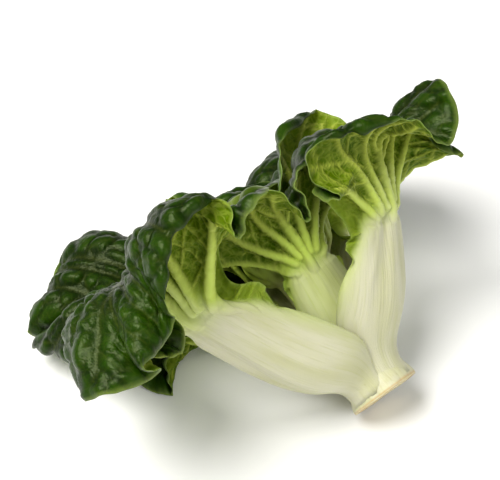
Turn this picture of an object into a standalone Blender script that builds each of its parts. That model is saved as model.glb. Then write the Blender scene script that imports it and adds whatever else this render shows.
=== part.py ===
"""A cut head of baby bok choy lying on its side: one stem base and eleven leaves, each leaf its petiole and blade in one piece.

Worked out in millimetres and degrees, and turned into metres where the meshes are made.  The head's axis leans up from
the table, cut end low, and the leaves stand round it in a spiral, the outermost first.
"""

import math

import bpy
import numpy as np

# ---------------------------------------------------------------- the head as a whole
AXIS_TILT = 23.0  # the leaf end is raised this much
AXIS_HEIGHT = 13.0  # middle of the cut face above the table
CUT_RADIUS = 13.6  # the cut face
FLOOR_SOFTNESS = 0.8  # how gently a leaf that reaches the table is turned along it

# ---------------------------------------------------------------- the leaves
# psi: where the leaf stands round the axis, 0 on top.   z0, r0: where its base starts, along and away from the axis.
# lp, lb: length of petiole and blade.   wp, wb: their greatest half widths.   tp: greatest thickness of the petiole.
# bend: angle of the midrib from the head's axis at arc lengths along it.   side, twist: how far it swings and turns.
# clasp: how much more the petiole is curved across than the circle round the axis.   wrap: how much of that circle the
# blade keeps.   fold: how far the left and the right of the blade turn outwards, and between which distances from the
# midrib.   wave: size of the ruffles.   ear: how much wider each side is where the blade runs down the petiole.
# taper: how slender the petiole gets below the blade.   base: how wide it is where it starts and a little above.
LEAVES = [
    dict(name="outer_leaf_front", psi=-62.0, z0=13.6, r0=8.0, lp=76, lb=60, wp=20.5, wb=43, tp=8.8, taper=0.95, base=(0.72, 0.92),
         bend=[(0, 84), (12, 60), (32, 44), (60, 41), (76, 35), (86, 34), (96, 58), (108, 104), (120, 148), (136, 178)],
         side=16, twist=-12, clasp=0.018, wrap=0.5, fold=((150, 10, 22), (36, 26, 24)), wave=1.0, seed=11, ear=(0.0, 0.32)),
    dict(name="outer_leaf_under", psi=208.0, z0=15.6, r0=7.5, lp=50, lb=46, wp=15.0, wb=28, tp=6.0, taper=1.0, base=(0.50, 0.74),
         bend=[(0, 74), (11, 46), (28, 40), (50, 42), (64, 47), (78, 58), (96, 80)],
         side=16, twist=10, clasp=0.008, wrap=0.2, fold=((20, 8, 20), (20, 8, 20)), wave=0.8, seed=13, ear=(0.1, 0.1)),
    dict(name="outer_leaf_back", psi=35.0, z0=17.3, r0=7.5, lp=56, lb=43, wp=22.5, wb=30, tp=7.8, taper=0.82, base=(0.72, 0.92),
         bend=[(0, 74), (11, 53), (26, 43), (46, 37), (62, 34), (74, 40), (82, 69), (91, 124), (99, 166)],
         side=-3, twist=2, clasp=0.018, wrap=0.6, fold=((20, 18, 18), (70, 12, 12)), wave=1.0, seed=12, ear=(0.25, 0.0)),
    dict(name="middle_leaf_low_left", psi=252.0, z0=18.3, r0=5.6, lp=58, lb=62, wp=14.5, wb=38, tp=5.0, taper=1.0, base=(0.56, 0.80),
         bend=[(0, 56), (9, 33), (28, 28), (50, 30), (68, 38), (88, 58), (106, 86), (120, 110)],
         side=-2, twist=55, clasp=0.010, wrap=0.7, fold=((60, 12, 22), (60, 12, 22)), wave=1.0, seed=16, ear=(0.2, 0.2)),
    dict(name="middle_leaf_low_right", psi=114.0, z0=19.4, r0=5.3, lp=50, lb=48, wp=13.5, wb=32, tp=4.4, taper=1.0, base=(0.56, 0.80),
         bend=[(0, 54), (9, 30), (26, 25), (46, 24), (60, 28), (76, 46), (88, 76), (98, 100)],
         side=4, twist=-40, clasp=0.010, wrap=0.7, fold=((60, 12, 20), (60, 12, 20)), wave=1.0, seed=15, ear=(0.2, 0.2)),
    dict(name="middle_leaf_top", psi=-9.0, z0=22.1, r0=5.2, lp=40, lb=42, wp=14.4, wb=28, tp=4.6, taper=0.92, base=(0.56, 0.80),
         bend=[(0, 52), (9, 28), (26, 21), (40, 19), (52, 24), (62, 50), (72, 96), (82, 140)],
         side=1, twist=-4, clasp=0.010, wrap=1.0, fold=((60, 12, 16), (60, 12, 16)), wave=1.0, seed=14, ear=(0.2, 0.2)),
    dict(name="inner_leaf_low", psi=198.0, z0=21.8, r0=4.3, lp=44, lb=42, wp=9.5, wb=25, tp=3.4, taper=1.0, base=(0.56, 0.80),
         bend=[(0, 38), (8, 17), (22, 14), (36, 13), (50, 19), (68, 38), (86, 62)],
         side=4, twist=4, clasp=0.006, wrap=0.9, fold=((40, 10, 16), (40, 10, 16)), wave=0.8, seed=18, ear=(0.2, 0.2)),
    dict(name="inner_leaf_right", psi=71.0, z0=23.5, r0=3.7, lp=40, lb=42, wp=9.0, wb=23, tp=3.1, taper=1.0, base=(0.56, 0.80),
         bend=[(0, 36), (8, 13), (22, 9), (36, 9), (48, 16), (66, 42), (82, 78)],
         side=0, twist=5, clasp=0.006, wrap=0.9, fold=((40, 10, 16), (40, 10, 16)), wave=0.9, seed=17, ear=(0.2, 0.2)),
    dict(name="inner_leaf_left", psi=-72.0, z0=25.2, r0=3.0, lp=37, lb=38, wp=7.4, wb=20, tp=2.6, taper=1.0, base=(0.56, 0.80),
         bend=[(0, 34), (8, 9), (22, 5), (36, 6), (46, 13), (62, 36), (75, 62)],
         side=-4, twist=-5, clasp=0.004, wrap=0.9, fold=((40, 9, 14), (40, 9, 14)), wave=0.9, seed=19, ear=(0.2, 0.2)),
    dict(name="heart_leaf_back", psi=146.0, z0=27.2, r0=2.2, lp=30, lb=27, wp=4.6, wb=12, tp=2.1, taper=1.0, base=(0.56, 0.80),
         bend=[(0, 20), (7, 6), (20, 4), (34, 6), (46, 14), (57, 26)],
         side=0, twist=0, clasp=0.0, wrap=0.8, fold=((15, 4, 8), (15, 4, 8)), wave=0.6, seed=20, ear=(0.0, 0.0)),
    dict(name="heart_leaf_front", psi=0.0, z0=29.4, r0=1.6, lp=28, lb=24, wp=3.5, wb=9.5, tp=1.8, taper=1.0, base=(0.56, 0.80),
         bend=[(0, 16), (7, 3), (20, 2), (34, 4), (46, 10), (52, 17)],
         side=0, twist=0, clasp=0.0, wrap=0.8, fold=((15, 4, 6), (15, 4, 6)), wave=0.6, seed=21, ear=(0.0, 0.0)),
]
BLADE = 1.0  # thickness of a blade
ROWS, COLUMNS = 24, 13  # of the grid that an outer leaf is made on
CROWN_SIDES = 40


# ---------------------------------------------------------------- curves
def smooth(x):
    x = np.clip(x, 0.0, 1.0)
    return x * x * (3 - 2 * x)


def keyed(keys, x):
    """A smooth curve through (x, y) keys that never overshoots them."""
    kx = np.array([k[0] for k in keys], float)
    ky = np.array([k[1] for k in keys], float)
    h = np.diff(kx)
    d = np.diff(ky) / h
    m = np.empty(len(kx))
    m[0], m[-1] = d[0], d[-1]
    for i in range(1, len(kx) - 1):
        if d[i - 1] * d[i] <= 0:
            m[i] = 0.0
        else:
            w1, w2 = 2 * h[i] + h[i - 1], h[i] + 2 * h[i - 1]
            m[i] = (w1 + w2) / (w1 / d[i - 1] + w2 / d[i])
    x = np.clip(x, kx[0], kx[-1])
    i = np.clip(np.searchsorted(kx, x, side="right") - 1, 0, len(h) - 1)
    t = (x - kx[i]) / h[i]
    return ((2 * t**3 - 3 * t**2 + 1) * ky[i] + (t**3 - 2 * t**2 + t) * h[i] * m[i]
            + (-2 * t**3 + 3 * t**2) * ky[i + 1] + (t**3 - t**2) * h[i] * m[i + 1])


# ---------------------------------------------------------------- the head's own directions
def plant_axes():
    """Along the axis, upwards across it, and to its right."""
    t = math.radians(AXIS_TILT)
    a = np.array([math.cos(t), 0, math.sin(t)])
    u = np.array([-math.sin(t), 0, math.cos(t)])
    return a, u, np.cross(a, u)


def radial(psi):
    a, u, w = plant_axes()
    return math.cos(math.radians(psi)) * u + math.sin(math.radians(psi)) * w


def on_axis(z):
    return np.array([0.0, 0.0, AXIS_HEIGHT]) + z * plant_axes()[0]


# ---------------------------------------------------------------- a leaf
def spine(leaf):
    """The midrib, a point each half millimetre: positions, and the directions along it, inwards and across."""
    S = leaf["lp"] + leaf["lb"]
    s = np.arange(0, S + 12.01, 0.5)
    alpha = np.radians(keyed(leaf["bend"] + [(S + 12.0, leaf["bend"][-1][1] + 8)], s))
    a = plant_axes()[0]
    er = radial(leaf["psi"])
    turn = np.gradient(alpha, s)
    side = math.radians(leaf["side"]) / S * smooth((s - 0.3 * leaf["lp"]) / leaf["lp"])
    twist = math.radians(leaf["twist"]) / leaf["lb"] * smooth((s - 0.6 * leaf["lp"]) / (0.5 * leaf["lp"]))
    P = [on_axis(leaf["z0"]) + leaf["r0"] * er]
    T = math.sin(alpha[0]) * er + math.cos(alpha[0]) * a
    N = -math.cos(alpha[0]) * er + math.sin(alpha[0]) * a
    Ts, Ns = [T], [N]
    for i in range(1, len(s)):
        ds = s[i] - s[i - 1]
        B = np.cross(N, T)
        P.append(P[-1] + T * ds)
        T2 = T - turn[i] * ds * N + side[i] * ds * B
        N2 = N + turn[i] * ds * T + twist[i] * ds * B
        T2 /= np.linalg.norm(T2)
        N2 -= T2 * (N2 @ T2)
        N2 /= np.linalg.norm(N2)
        T, N = T2, N2
        Ts.append(T)
        Ns.append(N)
    T, N = np.array(Ts), np.array(Ns)
    return s, np.array(P), T, N, np.cross(N, T)


def petiole_width(leaf, s):
    lp, lb, wp = leaf["lp"], leaf["lb"], leaf["wp"]
    base, low = leaf["base"]
    return keyed([(0, base * wp), (0.12 * lp, low * wp), (0.4 * lp, wp), (0.78 * lp, 0.84 * wp * leaf["taper"]), (lp + 4, 0.55 * wp * leaf["taper"]), (lp + lb, 0.1 * wp)], s)


def half_width(leaf, s):
    """Half the width of the leaf pressed flat: the petiole, and the blade that grows out of it."""
    lp, lb = leaf["lp"], leaf["lb"]
    s0 = 0.80 * lp
    x = (s - s0) / (lp + lb - s0)
    blade = leaf["wb"] * keyed([(0, 0), (0.10, 0.22), (0.22, 0.62), (0.38, 0.90), (0.58, 1.0), (0.78, 0.94), (0.92, 0.80), (1.0, 0.70)], x)
    blade = np.where(x > 0, blade, 0)
    return (petiole_width(leaf, s) ** 3 + blade**3) ** (1 / 3)


def reach(leaf, s, v):
    """The distance from the midrib to the margin: one side's blade may run further down along the petiole."""
    lp = leaf["lp"]
    ear = keyed([(0, 0), (0.62 * lp, 0), (0.80 * lp, 1), (lp, 0.8), (lp + 0.35 * leaf["lb"], 0)], s)
    return half_width(leaf, s) * (1 + np.where(v > 0, leaf["ear"][1], leaf["ear"][0]) * ear)


def flat(leaf, s, v):
    """Where the grid point (s, v) lies on the leaf pressed flat: across it and along it."""
    drop = 0.34 * leaf["wb"] * smooth((s - leaf["lp"]) / leaf["lb"]) ** 1.2
    return v * reach(leaf, s, v), s - drop * v * v


def embed(leaf, x, y):
    """The leaf's middle surface in space at the flat position (x, y)."""
    s, P, T, N, B = spine(leaf)
    lp, lb = leaf["lp"], leaf["lb"]
    a = plant_axes()[0]
    rel = P - on_axis(0)
    rho = np.linalg.norm(rel - np.outer(rel @ a, a), axis=1)
    nest = (T @ a) / np.maximum(rho + 1.0, 4.0)

    def at(A):
        return np.stack([np.interp(y, s, A[:, k]) for k in range(3)], axis=-1)

    extra = keyed([(0, 0.0), (0.3 * lp, leaf["clasp"]), (0.75 * lp, leaf["clasp"]), (lp + 6, 0.0)], y)
    k0 = np.interp(y, s, nest) * keyed([(0, 1), (lp - 8, 1), (lp + 0.4 * lb, leaf["wrap"]), (lp + lb, leaf["wrap"])], y) + extra
    fold, start, over = (np.where(x < 0, a, b) for a, b in zip(leaf["fold"][0], leaf["fold"][1]))
    fold = np.radians(fold) * smooth((y - lp + 2) / (0.3 * lb)) * np.where(x < 0, 1, -1)
    n = 24
    X, Y = np.zeros_like(x), np.zeros_like(x)
    for i in range(n):
        t = x * (i + 0.5) / n
        angle = k0 * t + fold * smooth((np.abs(t) - start) / over)
        X = X + np.cos(angle) * x / n
        Y = Y + np.sin(angle) * x / n
    return at(P) + X[..., None] * at(B) + Y[..., None] * at(N)


def ruffle(leaf, x, y):
    """Waves that grow towards the margin of the blade."""
    lp, lb, wb = leaf["lp"], leaf["lb"], leaf["wb"]
    rng = np.random.default_rng(leaf["seed"])
    om = np.arctan2(x, y - (lp - 0.10 * lb))
    rad = np.hypot(x / wb, (y - lp) / lb)
    out = np.zeros_like(x)
    for m, amount in ((4, 1.0), (7, 0.7)):
        ph = rng.uniform(0, 2 * math.pi, 2)
        out += amount * np.sin(m * om + ph[0] + 0.7 * np.sin(4.6 * rad + ph[1]))
    return leaf["wave"] * 0.075 * wb * smooth((rad - 0.25) / 0.9) * smooth((y - lp + 8) / 20) * out


def normals(P):
    """Directions square to a grid of points, pointing out of the leaf's inner face."""
    n = np.cross(np.gradient(P, axis=0), np.gradient(P, axis=1))
    return n / np.maximum(np.linalg.norm(n, axis=-1, keepdims=True), 1e-9)


def lay_down(P, room):
    """Turns what would pass below the table along it, a little above it."""
    out = P.copy()
    k = FLOOR_SOFTNESS
    z = P[..., 2] - room
    out[..., 2] = room + np.where(z > 6, z, k * np.logaddexp(0, np.minimum(z, 6) / k))
    return out


def thickness(leaf, s, v):
    """How far the inner and the outer face lie from the middle surface: a petiole is thick in its middle only."""
    lp, lb, tp = leaf["lp"], leaf["lb"], leaf["tp"]
    mid = keyed([(0, 0.62 * tp), (0.12 * lp, 0.9 * tp), (0.3 * lp, tp), (0.7 * lp, 0.72 * tp), (lp, 0.42 * tp), (lp + 0.35 * lb, BLADE), (lp + lb, BLADE)], s)
    x = np.abs(v) * reach(leaf, s, v)
    profile = np.clip(1 - (x / np.maximum(petiole_width(leaf, s), 3.0)) ** 2.2, 0, 1) ** 0.75
    t = BLADE + (mid - BLADE).clip(0) * profile
    t = np.where(s < 0.16 * lp, np.maximum(t, 1.6), t)
    return 0.32 * t, 0.68 * t


def leaf_mesh(leaf, ns, nv):
    """Points and faces of a leaf: an inner and an outer face on one grid, joined round the margin."""
    s, v = np.meshgrid(np.linspace(0, leaf["lp"] + leaf["lb"], ns), np.linspace(-1, 1, nv), indexing="ij")
    x, y = flat(leaf, s, v)
    P = embed(leaf, x, y)
    P = P + normals(P) * ruffle(leaf, x, y)[..., None]
    ti, to = thickness(leaf, s, v)
    n = normals(P)
    low = np.clip(1 - (s - 0.5 * leaf["lp"]) / (0.3 * leaf["lp"]), 0, 1)
    P = np.where((low > 0)[..., None], P, lay_down(P, 0.5 * BLADE))
    n = normals(P)
    inner, outer = P + n * ti[..., None], P - n * to[..., None]
    k = ns * nv
    verts = np.concatenate([inner.reshape(-1, 3), outer.reshape(-1, 3)])
    verts[:, 2] = np.maximum(verts[:, 2], 0.0)
    at = np.arange(k).reshape(ns, nv)
    faces = []
    for i in range(ns - 1):
        for j in range(nv - 1):
            p, q, r, t = at[i, j], at[i + 1, j], at[i + 1, j + 1], at[i, j + 1]
            faces.append((p, q, r, t))
            faces.append((p + k, t + k, r + k, q + k))
    ring = [at[i, 0] for i in range(ns)] + [at[ns - 1, j] for j in range(1, nv)]
    ring += [at[i, nv - 1] for i in range(ns - 2, -1, -1)] + [at[0, j] for j in range(nv - 2, 0, -1)]
    for p, q in zip(ring, ring[1:] + ring[:1]):
        faces.append((q, p, p + k, q + k))
    return verts, faces


# ---------------------------------------------------------------- the stem base
def shoulder(t):
    """How high the neck reaches at this angle: just below the leaf base that stands over it."""
    top = 15.0
    for leaf in LEAVES[:3]:
        d = abs((t - leaf["psi"] + 180) % 360 - 180)
        over = 1 - float(smooth(np.array((d - 58) / 26)))
        top = min(top, leaf["z0"] - 0.45 * leaf["tp"] - 0.9 + (1 - over) * 8)
    return top


def crown_mesh(n):
    """The cut stub, its neck and the core that the leaves grow from."""
    verts = [on_axis(0.0)]
    for k in range(9):
        for i in range(n):
            t = 360 * i / n
            lobes = 1 + 0.035 * math.cos(math.radians(3 * t + 40)) + 0.02 * math.cos(math.radians(5 * t))
            top = shoulder(t)
            z, r = [(0.0, CUT_RADIUS - 0.5), (0.5, CUT_RADIUS), (0.45 * top + 0.3, 0.90 * CUT_RADIUS), (0.92 * top, 0.80 * CUT_RADIUS),
                    (top, 0.70 * CUT_RADIUS), (top + 0.25, 5.4), (17.0, 3.4), (21.4, 2.2), (26.2, 0.9)][k]
            verts.append(on_axis(z) + r * (lobes if k < 5 else 1) * radial(t))
    verts.append(on_axis(26.6))
    verts = np.array(verts)
    verts[:, 2] = np.maximum(verts[:, 2], 0.0)
    faces = [(1 + (i + 1) % n, 1 + i, 0) for i in range(n)]
    for k in range(8):
        for i in range(n):
            p, q = 1 + k * n + i, 1 + k * n + (i + 1) % n
            faces.append((q, q + n, p + n, p))
    last = 1 + 8 * n
    faces += [(last + (i + 1) % n, len(verts) - 1, last + i) for i in range(n)]
    return verts, faces


# ---------------------------------------------------------------- objects
def material(name, color, roughness):
    m = bpy.data.materials.new(name)
    m.use_nodes = True
    shader = m.node_tree.nodes["Principled BSDF"]
    shader.inputs["Base Color"].default_value = (*color, 1)
    shader.inputs["Roughness"].default_value = roughness
    shader.inputs["Metallic"].default_value = 0.0
    return m


def add(name, verts, faces, mat):
    mesh = bpy.data.meshes.new(name)
    mesh.from_pydata((verts / 1000).tolist(), [], [tuple(int(i) for i in f) for f in faces])
    mesh.materials.append(mat)
    mesh.shade_smooth()
    obj = bpy.data.objects.new(name, mesh)
    bpy.context.scene.collection.objects.link(obj)


def main():
    for obj in list(bpy.data.objects):
        bpy.data.objects.remove(obj)
    made = {"stem_base": crown_mesh(CROWN_SIDES)}
    for i, leaf in enumerate(LEAVES):
        fewer = 0 if i < 6 else 4 if i < 9 else 8
        made[leaf["name"]] = leaf_mesh(leaf, ROWS - fewer, COLUMNS - fewer // 4 * 2)
    everything = np.concatenate([verts for verts, faces in made.values()])
    low, high = everything.min(axis=0), everything.max(axis=0)
    middle = np.array([(low[0] + high[0]) / 2, (low[1] + high[1]) / 2, low[2]])
    colors = {"stem_base": ((0.62, 0.56, 0.38), 0.55), "outer": ((0.42, 0.47, 0.24), 0.38), "middle": ((0.22, 0.31, 0.09), 0.38),
              "inner": ((0.20, 0.30, 0.06), 0.4), "heart": ((0.30, 0.38, 0.10), 0.42)}
    for name, (verts, faces) in made.items():
        color, roughness = colors.get(name) or colors[name.split("_")[0]]
        add(name, verts - middle, faces, material(name + "_material", color, roughness))


main()
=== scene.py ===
"""The looks of a head of baby bok choy lying on a table: its leaves grown and ruffled as fine meshes, and their finish.

The leaves' curves are the ones that the solid model was made from.  Each blade is then grown: its margin and the tissue
between its veins get more area than they had, so it buckles into ruffles and blisters, kept off the table and off the
other leaves.  Worked out in millimetres and degrees, and turned into metres where the meshes are made.
"""

import math

import bpy
import numpy as np
from mathutils import Matrix, Vector
from mathutils.bvhtree import BVHTree


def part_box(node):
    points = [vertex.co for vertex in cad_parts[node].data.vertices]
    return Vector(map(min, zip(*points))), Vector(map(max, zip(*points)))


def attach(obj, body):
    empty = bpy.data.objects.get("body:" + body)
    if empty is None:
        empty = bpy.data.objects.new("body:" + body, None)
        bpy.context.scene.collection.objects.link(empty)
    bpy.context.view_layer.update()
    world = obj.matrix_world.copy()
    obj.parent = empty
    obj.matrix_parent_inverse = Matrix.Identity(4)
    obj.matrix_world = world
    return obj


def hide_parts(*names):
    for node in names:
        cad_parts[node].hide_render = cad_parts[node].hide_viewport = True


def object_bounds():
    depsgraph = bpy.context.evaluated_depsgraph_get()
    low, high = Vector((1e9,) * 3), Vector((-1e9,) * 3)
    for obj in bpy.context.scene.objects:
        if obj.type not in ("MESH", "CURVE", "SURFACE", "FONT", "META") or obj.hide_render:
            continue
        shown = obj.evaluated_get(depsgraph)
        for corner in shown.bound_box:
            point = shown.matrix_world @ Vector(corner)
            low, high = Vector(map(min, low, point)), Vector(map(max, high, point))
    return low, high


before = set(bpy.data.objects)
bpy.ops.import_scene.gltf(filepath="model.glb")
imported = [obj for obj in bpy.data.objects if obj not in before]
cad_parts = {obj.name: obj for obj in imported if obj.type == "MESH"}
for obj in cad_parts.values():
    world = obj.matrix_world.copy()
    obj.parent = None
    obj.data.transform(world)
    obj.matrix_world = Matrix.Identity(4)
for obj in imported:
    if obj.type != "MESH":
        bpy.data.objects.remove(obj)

CAD_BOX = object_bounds()
TURNS = 130  # of the growth

# ---------------------------------------------------------------- the head as a whole
AXIS_TILT = 23.0  # the leaf end is raised this much
AXIS_HEIGHT = 13.0  # middle of the cut face above the table
CUT_RADIUS = 13.6  # the cut face
FLOOR_SOFTNESS = 0.8  # how gently a leaf that reaches the table is turned along it

# ---------------------------------------------------------------- the leaves
# psi: where the leaf stands round the axis, 0 on top.   z0, r0: where its base starts, along and away from the axis.
# lp, lb: length of petiole and blade.   wp, wb: their greatest half widths.   tp: greatest thickness of the petiole.
# bend: angle of the midrib from the head's axis at arc lengths along it.   side, twist: how far it swings and turns.
# clasp: how much more the petiole is curved across than the circle round the axis.   wrap: how much of that circle the
# blade keeps.   fold: how far the left and the right of the blade turn outwards, and between which distances from the
# midrib.   wave: size of the ruffles.   ear: how much wider each side is where the blade runs down the petiole.
# taper: how slender the petiole gets below the blade.   base: how wide it is where it starts and a little above.
LEAVES = [
    dict(name="outer_leaf_front", psi=-62.0, z0=13.6, r0=8.0, lp=76, lb=60, wp=20.5, wb=43, tp=8.8, taper=0.95, base=(0.72, 0.92),
         bend=[(0, 84), (12, 60), (32, 44), (60, 41), (76, 35), (86, 34), (96, 58), (108, 104), (120, 148), (136, 178)],
         side=16, twist=-12, clasp=0.018, wrap=0.5, fold=((150, 10, 22), (36, 26, 24)), wave=1.0, seed=11, ear=(0.0, 0.32)),
    dict(name="outer_leaf_under", psi=208.0, z0=15.6, r0=7.5, lp=50, lb=46, wp=15.0, wb=28, tp=6.0, taper=1.0, base=(0.50, 0.74),
         bend=[(0, 74), (11, 46), (28, 40), (50, 42), (64, 47), (78, 58), (96, 80)],
         side=16, twist=10, clasp=0.008, wrap=0.2, fold=((20, 8, 20), (20, 8, 20)), wave=0.8, seed=13, ear=(0.1, 0.1)),
    dict(name="outer_leaf_back", psi=35.0, z0=17.3, r0=7.5, lp=56, lb=43, wp=22.5, wb=30, tp=7.8, taper=0.82, base=(0.72, 0.92),
         bend=[(0, 74), (11, 53), (26, 43), (46, 37), (62, 34), (74, 40), (82, 69), (91, 124), (99, 166)],
         side=-3, twist=2, clasp=0.018, wrap=0.6, fold=((20, 18, 18), (70, 12, 12)), wave=1.0, seed=12, ear=(0.25, 0.0)),
    dict(name="middle_leaf_low_left", psi=252.0, z0=18.3, r0=5.6, lp=58, lb=62, wp=14.5, wb=38, tp=5.0, taper=1.0, base=(0.56, 0.80),
         bend=[(0, 56), (9, 33), (28, 28), (50, 30), (68, 38), (88, 58), (106, 86), (120, 110)],
         side=-2, twist=55, clasp=0.010, wrap=0.7, fold=((60, 12, 22), (60, 12, 22)), wave=1.0, seed=16, ear=(0.2, 0.2)),
    dict(name="middle_leaf_low_right", psi=114.0, z0=19.4, r0=5.3, lp=50, lb=48, wp=13.5, wb=32, tp=4.4, taper=1.0, base=(0.56, 0.80),
         bend=[(0, 54), (9, 30), (26, 25), (46, 24), (60, 28), (76, 46), (88, 76), (98, 100)],
         side=4, twist=-40, clasp=0.010, wrap=0.7, fold=((60, 12, 20), (60, 12, 20)), wave=1.0, seed=15, ear=(0.2, 0.2)),
    dict(name="middle_leaf_top", psi=-9.0, z0=22.1, r0=5.2, lp=40, lb=42, wp=14.4, wb=28, tp=4.6, taper=0.92, base=(0.56, 0.80),
         bend=[(0, 52), (9, 28), (26, 21), (40, 19), (52, 24), (62, 50), (72, 96), (82, 140)],
         side=1, twist=-4, clasp=0.010, wrap=1.0, fold=((60, 12, 16), (60, 12, 16)), wave=1.0, seed=14, ear=(0.2, 0.2)),
    dict(name="inner_leaf_low", psi=198.0, z0=21.8, r0=4.3, lp=44, lb=42, wp=9.5, wb=25, tp=3.4, taper=1.0, base=(0.56, 0.80),
         bend=[(0, 38), (8, 17), (22, 14), (36, 13), (50, 19), (68, 38), (86, 62)],
         side=4, twist=4, clasp=0.006, wrap=0.9, fold=((40, 10, 16), (40, 10, 16)), wave=0.8, seed=18, ear=(0.2, 0.2)),
    dict(name="inner_leaf_right", psi=71.0, z0=23.5, r0=3.7, lp=40, lb=42, wp=9.0, wb=23, tp=3.1, taper=1.0, base=(0.56, 0.80),
         bend=[(0, 36), (8, 13), (22, 9), (36, 9), (48, 16), (66, 42), (82, 78)],
         side=0, twist=5, clasp=0.006, wrap=0.9, fold=((40, 10, 16), (40, 10, 16)), wave=0.9, seed=17, ear=(0.2, 0.2)),
    dict(name="inner_leaf_left", psi=-72.0, z0=25.2, r0=3.0, lp=37, lb=38, wp=7.4, wb=20, tp=2.6, taper=1.0, base=(0.56, 0.80),
         bend=[(0, 34), (8, 9), (22, 5), (36, 6), (46, 13), (62, 36), (75, 62)],
         side=-4, twist=-5, clasp=0.004, wrap=0.9, fold=((40, 9, 14), (40, 9, 14)), wave=0.9, seed=19, ear=(0.2, 0.2)),
    dict(name="heart_leaf_back", psi=146.0, z0=27.2, r0=2.2, lp=30, lb=27, wp=4.6, wb=12, tp=2.1, taper=1.0, base=(0.56, 0.80),
         bend=[(0, 20), (7, 6), (20, 4), (34, 6), (46, 14), (57, 26)],
         side=0, twist=0, clasp=0.0, wrap=0.8, fold=((15, 4, 8), (15, 4, 8)), wave=0.6, seed=20, ear=(0.0, 0.0)),
    dict(name="heart_leaf_front", psi=0.0, z0=29.4, r0=1.6, lp=28, lb=24, wp=3.5, wb=9.5, tp=1.8, taper=1.0, base=(0.56, 0.80),
         bend=[(0, 16), (7, 3), (20, 2), (34, 4), (46, 10), (52, 17)],
         side=0, twist=0, clasp=0.0, wrap=0.8, fold=((15, 4, 6), (15, 4, 6)), wave=0.6, seed=21, ear=(0.0, 0.0)),
]
BLADE = 1.0  # thickness of a blade
ROWS, COLUMNS = 24, 13  # of the grid that an outer leaf is made on
CROWN_SIDES = 40


# ---------------------------------------------------------------- curves
def smooth(x):
    x = np.clip(x, 0.0, 1.0)
    return x * x * (3 - 2 * x)


def keyed(keys, x):
    """A smooth curve through (x, y) keys that never overshoots them."""
    kx = np.array([k[0] for k in keys], float)
    ky = np.array([k[1] for k in keys], float)
    h = np.diff(kx)
    d = np.diff(ky) / h
    m = np.empty(len(kx))
    m[0], m[-1] = d[0], d[-1]
    for i in range(1, len(kx) - 1):
        if d[i - 1] * d[i] <= 0:
            m[i] = 0.0
        else:
            w1, w2 = 2 * h[i] + h[i - 1], h[i] + 2 * h[i - 1]
            m[i] = (w1 + w2) / (w1 / d[i - 1] + w2 / d[i])
    x = np.clip(x, kx[0], kx[-1])
    i = np.clip(np.searchsorted(kx, x, side="right") - 1, 0, len(h) - 1)
    t = (x - kx[i]) / h[i]
    return ((2 * t**3 - 3 * t**2 + 1) * ky[i] + (t**3 - 2 * t**2 + t) * h[i] * m[i]
            + (-2 * t**3 + 3 * t**2) * ky[i + 1] + (t**3 - t**2) * h[i] * m[i + 1])


# ---------------------------------------------------------------- the head's own directions
def plant_axes():
    """Along the axis, upwards across it, and to its right."""
    t = math.radians(AXIS_TILT)
    a = np.array([math.cos(t), 0, math.sin(t)])
    u = np.array([-math.sin(t), 0, math.cos(t)])
    return a, u, np.cross(a, u)


def radial(psi):
    a, u, w = plant_axes()
    return math.cos(math.radians(psi)) * u + math.sin(math.radians(psi)) * w


def on_axis(z):
    return np.array([0.0, 0.0, AXIS_HEIGHT]) + z * plant_axes()[0]


# ---------------------------------------------------------------- a leaf
def spine(leaf):
    """The midrib, a point each half millimetre: positions, and the directions along it, inwards and across."""
    S = leaf["lp"] + leaf["lb"]
    s = np.arange(0, S + 12.01, 0.5)
    alpha = np.radians(keyed(leaf["bend"] + [(S + 12.0, leaf["bend"][-1][1] + 8)], s))
    a = plant_axes()[0]
    er = radial(leaf["psi"])
    turn = np.gradient(alpha, s)
    side = math.radians(leaf["side"]) / S * smooth((s - 0.3 * leaf["lp"]) / leaf["lp"])
    twist = math.radians(leaf["twist"]) / leaf["lb"] * smooth((s - 0.6 * leaf["lp"]) / (0.5 * leaf["lp"]))
    P = [on_axis(leaf["z0"]) + leaf["r0"] * er]
    T = math.sin(alpha[0]) * er + math.cos(alpha[0]) * a
    N = -math.cos(alpha[0]) * er + math.sin(alpha[0]) * a
    Ts, Ns = [T], [N]
    for i in range(1, len(s)):
        ds = s[i] - s[i - 1]
        B = np.cross(N, T)
        P.append(P[-1] + T * ds)
        T2 = T - turn[i] * ds * N + side[i] * ds * B
        N2 = N + turn[i] * ds * T + twist[i] * ds * B
        T2 /= np.linalg.norm(T2)
        N2 -= T2 * (N2 @ T2)
        N2 /= np.linalg.norm(N2)
        T, N = T2, N2
        Ts.append(T)
        Ns.append(N)
    T, N = np.array(Ts), np.array(Ns)
    return s, np.array(P), T, N, np.cross(N, T)


def petiole_width(leaf, s):
    lp, lb, wp = leaf["lp"], leaf["lb"], leaf["wp"]
    base, low = leaf["base"]
    return keyed([(0, base * wp), (0.12 * lp, low * wp), (0.4 * lp, wp), (0.78 * lp, 0.84 * wp * leaf["taper"]), (lp + 4, 0.55 * wp * leaf["taper"]), (lp + lb, 0.1 * wp)], s)


def half_width(leaf, s):
    """Half the width of the leaf pressed flat: the petiole, and the blade that grows out of it."""
    lp, lb = leaf["lp"], leaf["lb"]
    s0 = 0.80 * lp
    x = (s - s0) / (lp + lb - s0)
    blade = leaf["wb"] * keyed([(0, 0), (0.10, 0.22), (0.22, 0.62), (0.38, 0.90), (0.58, 1.0), (0.78, 0.94), (0.92, 0.80), (1.0, 0.70)], x)
    blade = np.where(x > 0, blade, 0)
    return (petiole_width(leaf, s) ** 3 + blade**3) ** (1 / 3)


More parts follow.
